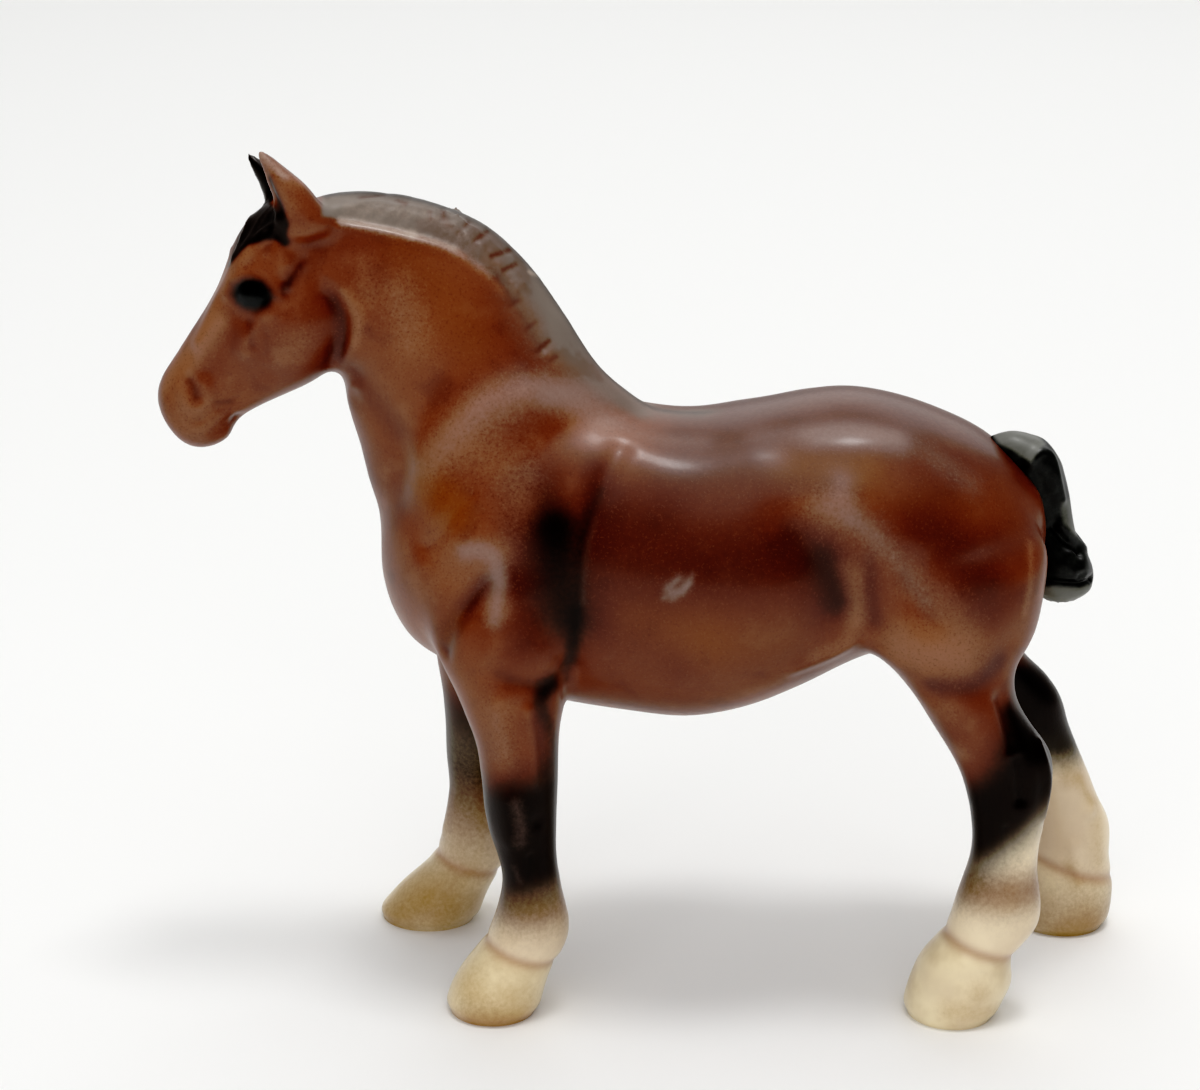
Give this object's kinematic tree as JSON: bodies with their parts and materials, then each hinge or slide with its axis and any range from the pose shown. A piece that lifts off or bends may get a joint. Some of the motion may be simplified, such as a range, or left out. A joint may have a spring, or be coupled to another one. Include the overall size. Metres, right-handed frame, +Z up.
{
  "type": "toy draft horse figure",
  "caption": "Standing toy draft horse moulded in two hollow plastic halves cemented along the middle, with legs and ears moulded on and a bound-up tail plugged into the rump.",
  "frame": {"origin": "on the floor under the middle of the figure's box, on the plane of the seam", "axes": "+Z up; the horse looks along -X, so +X runs to the tail; its left side faces -Y"},
  "size_m": [0.0884, 0.0276, 0.0761],
  "materials": {
    "bay_coat": "semi-gloss airbrushed bay paint on ivory plastic",
    "black_tail": "semi-gloss black paint on ivory plastic"
  },
  "bodies": {
    "root": {"left_body_half": "bay_coat", "right_body_half": "bay_coat", "tail": "black_tail"}
  },
  "joints": []
}
